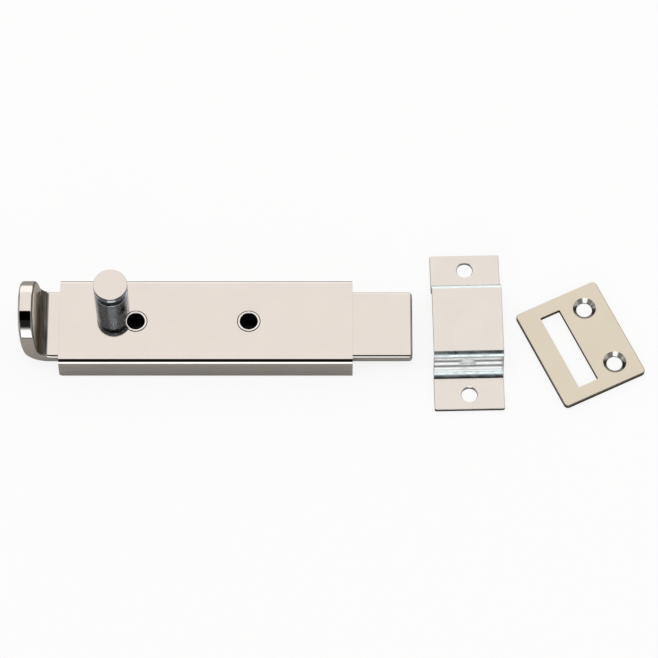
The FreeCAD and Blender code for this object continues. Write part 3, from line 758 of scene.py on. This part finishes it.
WARM_NICKEL = (0.86, 0.82, 0.775)
nickel_case = polished_metal("nickel_case", WARM_NICKEL, 0.055)
nickel_bar = polished_metal("nickel_bar", WARM_NICKEL, 0.055, 0.15)
# The lip's inner flat: rougher than the bar (real), and tinted lighter than the bar's own metal (painted
# light).
soft_nickel_painted_lighter = polished_metal("soft_nickel_painted_lighter", (0.93, 0.89, 0.83), 0.15, 0.2)
# Painted shade: a dark copy of the bar's metal for the bend at the foot of the lip's inner side.
lip_corner_painted_shade = polished_metal("lip_corner_painted_shade", (0.26, 0.24, 0.21), 0.16, 0.2)
nickel_ring = polished_metal("nickel_ring", (0.95, 0.93, 0.90), 0.08)
turned_nickel = polished_metal("turned_nickel", (0.72, 0.76, 0.82), 0.2, 0.3, (0.32 * MM, 0.03 * MM))
nickel_keep = polished_metal("nickel_keep", (0.86, 0.83, 0.79), 0.1)
# The keep's steep walls: real pressing ripples, with a tint brighter and bluer than the keep's own metal,
# a painted reflection of bluish light.
pressed_wall_painted_reflection = polished_metal("pressed_wall_painted_reflection", (0.95, 0.97, 1.0), 0.2, 1.0, (2.6 * MM, 0.05 * MM))
# The keep's bends: rougher (real), with a bluish tint that is a painted reflection of bluish light.
bent_nickel_painted_blue_reflection = polished_metal("bent_nickel_painted_blue_reflection", (0.9, 0.99, 1.0), 0.36, 0.5)
nickel_plate = polished_metal("nickel_plate", (0.78, 0.73, 0.60), 0.08)
plain_steel = polished_metal("plain_steel", (0.56, 0.56, 0.56), 0.3)
spring_steel = polished_metal("spring_steel", (0.30, 0.32, 0.36), 0.28)
pin_steel = polished_metal("pin_steel", (0.62, 0.62, 0.63), 0.15)
turned_brass = polished_metal("turned_brass", (0.78, 0.56, 0.25), 0.22)
# Near-black and rough: on the casing, the dark joint round each sleeve; on the keep's and plate's upright
# sides, painted shade.
joint_and_painted_shade_edge = polished_metal("joint_and_painted_shade_edge", (0.125, 0.113, 0.097), 0.35)
drilled_seat = polished_metal("drilled_seat", (0.66, 0.64, 0.60), 0.17)
# The cap's side walls and groove: rougher turned finish (real), with a tint far darker than the cap's top
# (painted shade).
turned_wall_painted_shade = polished_metal("turned_wall_painted_shade", (0.42, 0.44, 0.47), 0.16)
# Painted shade: a near-black lining for the sleeves' bores.
bore_painted_shade = polished_metal("bore_painted_shade", (0.03, 0.03, 0.032), 0.5)
black_rubber = moulded_rubber("black_rubber")


def fit(piece, body, slot, material, *nodes):
    """Coat a piece, hang it on its body, and let it stand for its CAD nodes."""
    coat(piece, material)
    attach(piece, body)
    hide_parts(*nodes)


casing_piece = model_casing()
fit(casing_piece, "bolt_case", "polished_casing", nickel_case, "casing")
recoat(casing_piece, joint_and_painted_shade_edge, is_joint)

fit(model_back_plate(), "bolt_case", "back_plate_steel", plain_steel, "back_plate")

rear_sleeve = model_sleeve("sleeve_rear", SLEEVES[0])
front_sleeve = copy_along(rear_sleeve, "sleeve_front", SLEEVES[1] - SLEEVES[0])
for sleeve, node, place in ((rear_sleeve, "fixing_sleeve_rear", SLEEVES[0]),
                            (front_sleeve, "fixing_sleeve_front", SLEEVES[1])):
    fit(sleeve, "bolt_case", "polished_sleeve", nickel_ring, node)
    # Painted shade: each sleeve's bore is lined near-black.
    line_bore(sleeve, bore_painted_shade, place, SCREW_ROOM + 0.05 * MM)

bar_piece = model_slide_bar()
fit(bar_piece, "bar", "polished_bar", nickel_bar, "slide_bar")
# Painted light: the lip's inner flat gets a lighter, rougher copy of the bar's metal.
recoat(bar_piece, soft_nickel_painted_lighter, is_lip_flat)
# Painted shade: the bend at the foot of the lip's inner side gets the dark copy of the bar's metal.
recoat(bar_piece, lip_corner_painted_shade, is_lip_corner)

fit(model_knob_barrel(), "bolt_case", "polished_knob", turned_nickel, "knob_barrel")

cap_piece = model_pull_cap()
fit(cap_piece, "lock", "polished_knob", nickel_case, "pull_cap")
# Painted shade: the cap's walls get a much darker copy of the metal than its top.
recoat(cap_piece, turned_wall_painted_shade, is_wall)

keep_piece = model_staple_keep()
fit(keep_piece, "keep", "polished_keep", nickel_keep, "staple_keep")
# Painted shade: the keep's upright sides get the near-black metal.
recoat(keep_piece, joint_and_painted_shade_edge, is_painted_shade_side)
# Painted reflection: the keep's walls get a brighter, bluish copy of its metal, with ripples.
recoat(keep_piece, pressed_wall_painted_reflection, is_keep_wall)
# Painted reflection: the keep's bends get a rougher, bluish copy of its metal.
recoat(keep_piece, bent_nickel_painted_blue_reflection, is_keep_bend)

plate_piece = model_mortice_plate()
fit(plate_piece, "plate", "polished_plate", nickel_plate, "mortice_plate")
# Painted shade: the plate's upright sides get the near-black metal.
recoat(plate_piece, joint_and_painted_shade_edge, is_painted_shade_side)
recoat(plate_piece, drilled_seat, is_countersink)

coat_cad("leaf_spring", spring_steel)
coat_cad("spring_rivets", plain_steel)
coat_cad("lock_pin", pin_steel)
coat_cad("pin_guide_bush", turned_brass)
coat_cad("pin_o_ring", black_rubber)


# ---------------------------------------------------------------- studio

def glowing(name, colour, strength, fade=None):
    """A plain glow. With a fade, it dies away between two heights, from the first to the second."""
    material = bpy.data.materials.new(name)
    material.use_nodes = True
    nodes, links = material.node_tree.nodes, material.node_tree.links
    nodes.clear()
    glow = nodes.new("ShaderNodeEmission")
    glow.inputs["Color"].default_value = (*colour, 1)
    glow.inputs["Strength"].default_value = strength
    if fade:
        place = nodes.new("ShaderNodeTexCoord")
        height = nodes.new("ShaderNodeSeparateXYZ")
        links.new(place.outputs["Object"], height.inputs["Vector"])
        level = nodes.new("ShaderNodeMapRange")
        level.interpolation_type = "SMOOTHERSTEP"
        level.inputs["From Min"].default_value = fade[0]
        level.inputs["From Max"].default_value = fade[1]
        level.inputs["To Min"].default_value = strength
        level.inputs["To Max"].default_value = 0.01 * strength
        links.new(height.outputs["Z"], level.inputs["Value"])
        links.new(level.outputs["Result"], glow.inputs["Strength"])
    out = nodes.new("ShaderNodeOutputMaterial")
    links.new(glow.outputs["Emission"], out.inputs["Surface"])
    return material


def card(name, near_angle, far_angle, distance, half_width, colour, strength, fade=None):
    """A glowing panel across the set, between two angles from straight up, positive to the front.

    It lights the set and shows in the metal, but the camera doesn't see it.
    """
    near_angle, far_angle = math.radians(near_angle), math.radians(far_angle)
    middle = (near_angle + far_angle) / 2
    deselect()
    bpy.ops.mesh.primitive_plane_add(
        size=1, rotation=(middle, 0, 0),
        location=(SET_MIDDLE_X, -distance * math.sin(middle), distance * math.cos(middle)))
    panel = bpy.context.object
    panel.scale = (2 * half_width, 2 * distance * math.tan(abs(far_angle - near_angle) / 2), 1)
    panel = settle(name)
    coat(panel, glowing(name, colour, strength, fade))
    panel.visible_camera = False
    panel.visible_shadow = False
    return panel


def ground(name, height, colour, glow=0.0):
    """The floor, or the floor that shows in the metal. A glow of its own softens the shadows on it."""
    deselect()
    bpy.ops.mesh.primitive_plane_add(size=16, location=(0, 0, height))
    floor = settle(name)
    material, _, _, shader = new_material(name)
    shader.inputs["Base Color"].default_value = (*colour, 1)
    shader.inputs["Roughness"].default_value = 0.9
    shader.inputs["Specular IOR Level"].default_value = 0.0
    shader.inputs["Emission Color"].default_value = (1, 1, 1, 1)
    shader.inputs["Emission Strength"].default_value = glow
    coat(floor, material)
    floor.visible_shadow = False
    return floor


def surround(name, radius, low, high, colour, strength):
    """A dim glowing screen all round the set, behind the cards."""
    deselect()
    bpy.ops.mesh.primitive_cylinder_add(vertices=64, radius=radius, depth=high - low,
                                        end_fill_type="NOTHING",
                                        location=(SET_MIDDLE_X, 0, (low + high) / 2))
    screen = settle(name)
    coat(screen, glowing(name, colour, strength))
    screen.visible_camera = False
    screen.visible_shadow = False


def floor_card(name, low, high, colour, strength):
    """A small glowing card laid on the floor under a piece, to be seen through its holes. A dark one
    paints shade, a bright one paints light, in place of the floor's own shading there.
    """
    deselect()
    middle = ((low[0] + high[0]) / 2, (low[1] + high[1]) / 2, CARD_HEIGHT)
    bpy.ops.mesh.primitive_plane_add(size=1, location=middle)
    bpy.context.object.scale = (high[0] - low[0], high[1] - low[1], 1)
    panel = settle(name)
    coat(panel, glowing(name, colour, strength))
    panel.visible_shadow = False


def sky():
    """Plain white light from all round, which the metal doesn't show."""
    world = bpy.data.worlds.new("studio")
    bpy.context.scene.world = world
    world.use_nodes = True
    nodes, links = world.node_tree.nodes, world.node_tree.links
    background = nodes["Background"]
    background.inputs["Color"].default_value = (1, 1, 1, 1)
    seen = nodes.new("ShaderNodeLightPath")
    strength = nodes.new("ShaderNodeMix")
    strength.data_type = "FLOAT"
    strength.inputs["A"].default_value = SKY_LIGHT
    strength.inputs["B"].default_value = SKY_BACKDROP
    links.new(seen.outputs["Is Camera Ray"], strength.inputs["Factor"])
    links.new(strength.outputs["Result"], background.inputs["Strength"])
    world.cycles_visibility.glossy = False


def studio():
    """A cream wall behind, a softbox in front, pale cards at the sides and a dim screen all round."""
    card("cream_wall_high", -15, -55, 1.2, 0.75, (1.0, 0.95, 0.915), 0.94)
    card("cream_wall_low", -55, -92, 1.2, 0.9, (1.0, 0.98, 0.96), 1.15)
    card("front_softbox", 20, 84, 1.3, 0.45, (0.96, 0.985, 1.0), 1.7, fade=(0.52, 1.0))
    for turn in (math.pi / 2, -math.pi / 2):
        set_down(card("pale_side", 64, 88, 1.0, 0.5, PALE, 0.6), (0, 0), turn)
    surround("dim_surround", 1.6, 0.06, 2.2, PALE, 0.25)

    # Painted shade: a near-black card under the casing, for the shade that the bores look down into.
    floor_card("painted_shade_card_under_case", (CASE_LOW.x + 3 * MM, -12 * MM), (CASE_HIGH.x - 3 * MM, 12 * MM),
               (0.5, 0.5, 0.5), 0.01)
    # Painted light: a glowing white card under each keep hole takes away the keep's shade on the floor
    # seen through it.
    reach = Vector((4 * MM, 4 * MM, 0))
    for y in KEEP_HOLES_Y:
        place = KEEP + Vector((-y * math.sin(KEEP_TURN), y * math.cos(KEEP_TURN), 0))
        floor_card("painted_light_card_under_hole", place - reach, place + reach, (1, 1, 1), 0.96)

    pale = ground("pale_floor", FLOOR_HEIGHT, (0.2, 0.2, 0.2), 0.85)
    pale.visible_glossy = False
    pale.visible_diffuse = False
    # Painted shade: the floor that shows in the metal is greyer than the floor the camera sees, standing
    # in for the shade on the floor next to the pieces.
    mirrored = ground("painted_shade_floor_in_the_metal", MIRRORED_FLOOR_HEIGHT, (0.54, 0.52, 0.49))
    mirrored.visible_camera = False

    sky()
    bpy.context.scene.view_settings.view_transform = "Standard"
    bpy.context.scene.view_settings.look = "None"


def camera():
    """Above the near side, a long way off, framing the whole set."""
    lens = bpy.data.cameras.new("camera")
    eye = bpy.data.objects.new("camera", lens)
    bpy.context.scene.collection.objects.link(eye)
    up = Vector((0, math.sin(CAMERA_RISE), math.cos(CAMERA_RISE)))
    back = Vector((0, -math.cos(CAMERA_RISE), math.sin(CAMERA_RISE)))
    eye.location = Vector((CAMERA_ASIDE, 0, 0)) + CAMERA_UP * up + CAMERA_DISTANCE * back
    eye.rotation_euler = (math.pi / 2 - CAMERA_RISE, 0, 0)
    lens.sensor_width = CAMERA_SENSOR
    lens.lens = CAMERA_LENS
    lens.clip_start = 0.05
    lens.clip_end = 50
    bpy.context.scene.camera = eye


studio()
camera()
